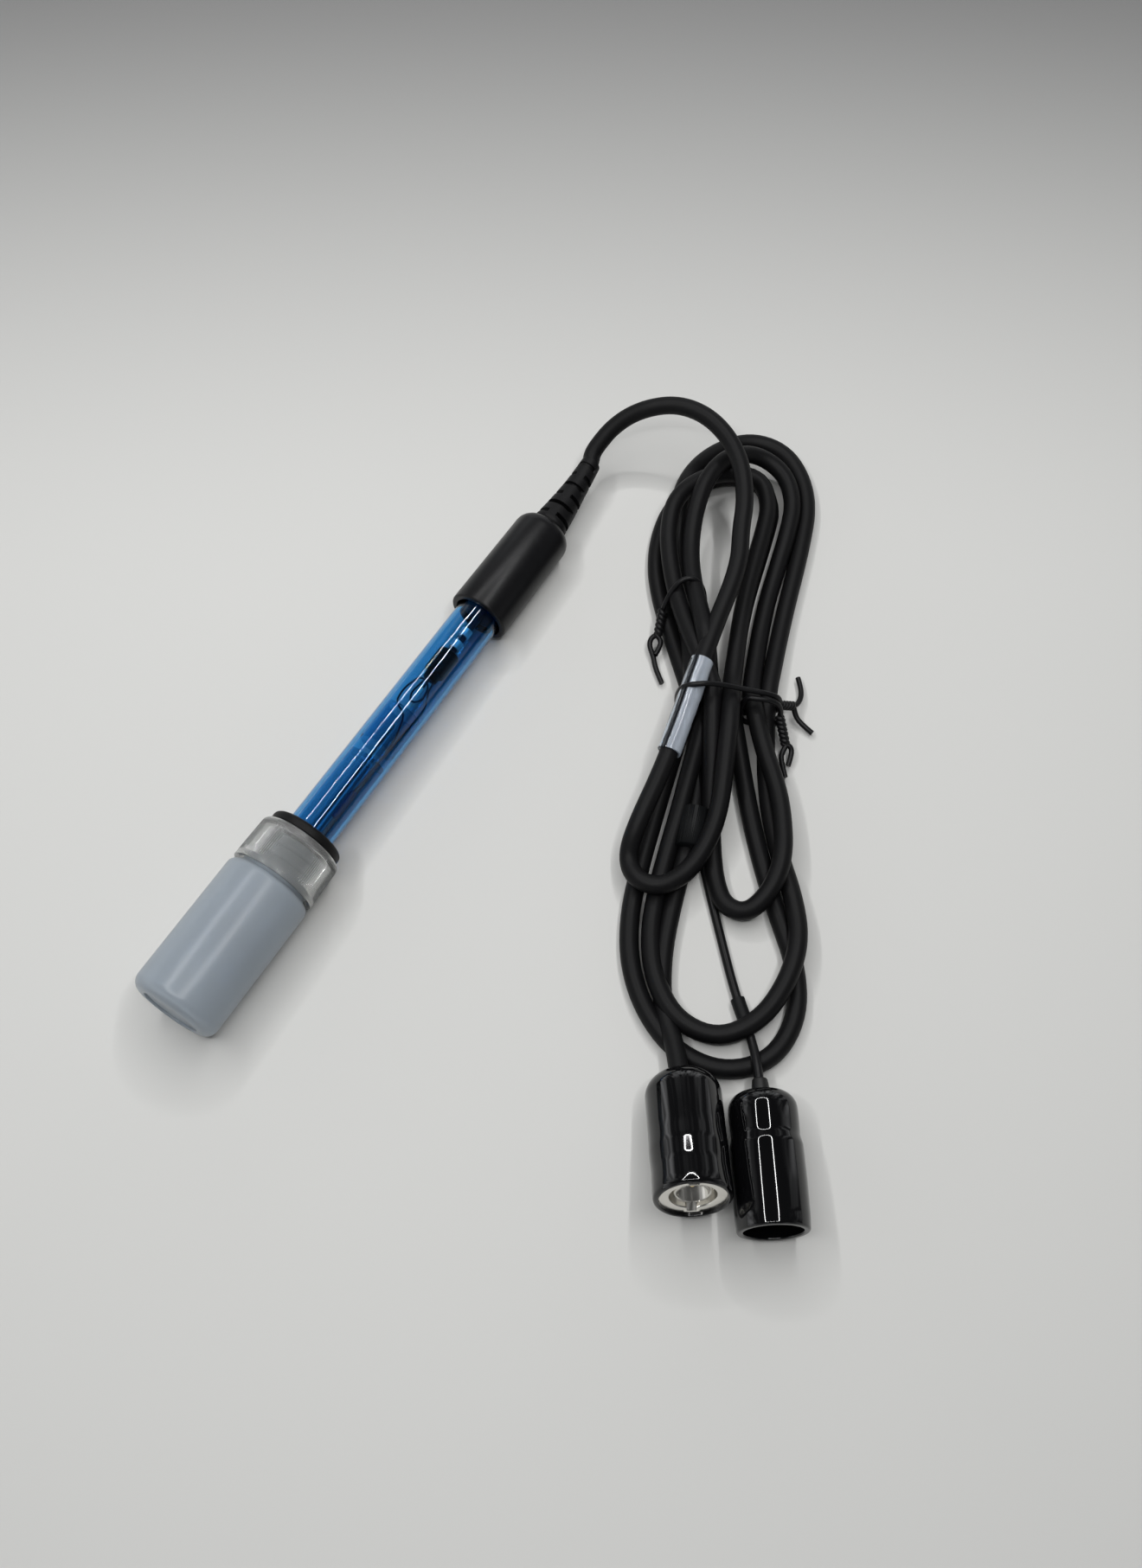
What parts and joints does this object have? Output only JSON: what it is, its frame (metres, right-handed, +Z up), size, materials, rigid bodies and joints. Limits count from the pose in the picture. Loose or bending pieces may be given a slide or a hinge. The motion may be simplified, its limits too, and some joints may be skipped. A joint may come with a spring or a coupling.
{
  "type": "redox electrode",
  "caption": "Laboratory redox electrode with a clear plastic body, its tip in a screw-cap storage bottle, and a tied cable hank ending in two booted connectors.",
  "frame": {"origin": "on the floor under the middle of the electrode, its bottle, head and strain relief, without the cable and what is on it", "axes": "+Y along the electrode from the storage bottle to the head, +Z up, +X to the side on which the cable hank lies"},
  "size_m": [0.1569, 0.2171, 0.0242],
  "materials": {
    "blue_tube": "clear blue plastic",
    "epoxy": "cured epoxy",
    "ceramic": "porous ceramic",
    "stem_glass": "clear",
    "dark_wire": "thin wire",
    "platinum": "bright",
    "reference_rod": "chloride coating",
    "sensor_bead": "dark bead",
    "gel": "translucent gel",
    "black_shrink": "heat shrunk",
    "dark_lead": "insulated",
    "crimp_tin": "tinned",
    "head_black": "satin, fine grain",
    "relief_black": "satin",
    "milky_bottle": "milky, translucent",
    "clear_cap": "natural, translucent",
    "seal_rubber": "black",
    "cable_jacket": "satin jacket",
    "clear_sleeve": "clear shrink tube",
    "tie_black": "coated wire",
    "thin_jacket": "satin jacket",
    "boot_black": "glossy",
    "nickel": "nickel plated",
    "white_insulator": "white",
    "gold_pin": "gold plated",
    "plug_black": "moulded"
  },
  "bodies": {
    "electrode": {"body_tube": "blue_tube", "tip_seal": "epoxy", "reference_junction": "ceramic", "glass_stem": "stem_glass", "stem_wire": "dark_wire", "platinum_tip": "platinum", "reference_element": "reference_rod", "temperature_sensor": "sensor_bead", "reference_wire": "dark_wire", "temperature_wire": "dark_wire", "gel_lower": "gel", "gel_upper": "gel", "lead_splice": "black_shrink", "inner_lead": "dark_lead", "crimp_sleeves": "crimp_tin", "upper_potting": "epoxy", "head_cap": "head_black", "strain_relief": "relief_black", "cable_lead": "cable_jacket", "cable_hank": "cable_jacket", "label_sleeve": "clear_sleeve", "tie_waist": "tie_black", "tie_waist_lower": "tie_black", "tie_upper": "tie_black", "split_sleeve": "black_shrink", "bnc_lead": "cable_jacket", "temperature_lead": "thin_jacket", "temperature_sleeve": "black_shrink", "bnc_body": "nickel", "bnc_insulator": "white_insulator", "bnc_pin": "gold_pin", "temperature_boot": "boot_black", "temperature_plug": "plug_black", "temperature_insulator": "plug_black", "temperature_pin": "nickel", "temperature_collar": "plug_black"},
    "bottle": {"storage_bottle": "milky_bottle"},
    "seal": {"seal_ring": "seal_rubber"},
    "cap": {"storage_cap": "clear_cap"},
    "coupling": {"bnc_boot": "boot_black", "bnc_coupling_ring": "nickel"}
  },
  "joints": [
    {"name": "storage_slide", "type": "slide", "parent": "electrode", "child": "bottle", "axis": [0, -0.9996, 0.0283], "range_m": [0, 0.045]},
    {"name": "seal_lift", "type": "slide", "parent": "bottle", "child": "seal", "axis": [0, 0.9996, -0.0283], "range_m": [0, 0.0046]},
    {"name": "cap_turn", "type": "hinge", "parent": "seal", "child": "cap", "pos_m": [0, -0.04678, 0.0109], "axis": [0, 0.9996, -0.0283], "range_deg": [0, 540]},
    {"name": "coupling_turn", "type": "hinge", "parent": "electrode", "child": "coupling", "pos_m": [0.10504, -0.04008, 0.00668], "axis": [0.5358, -0.7857, 0.309], "continuous": true}
  ],
  "couplings": [
    {"joint": "seal_lift", "follows": "cap_turn", "m_per_rad": 0.00047746}
  ]
}
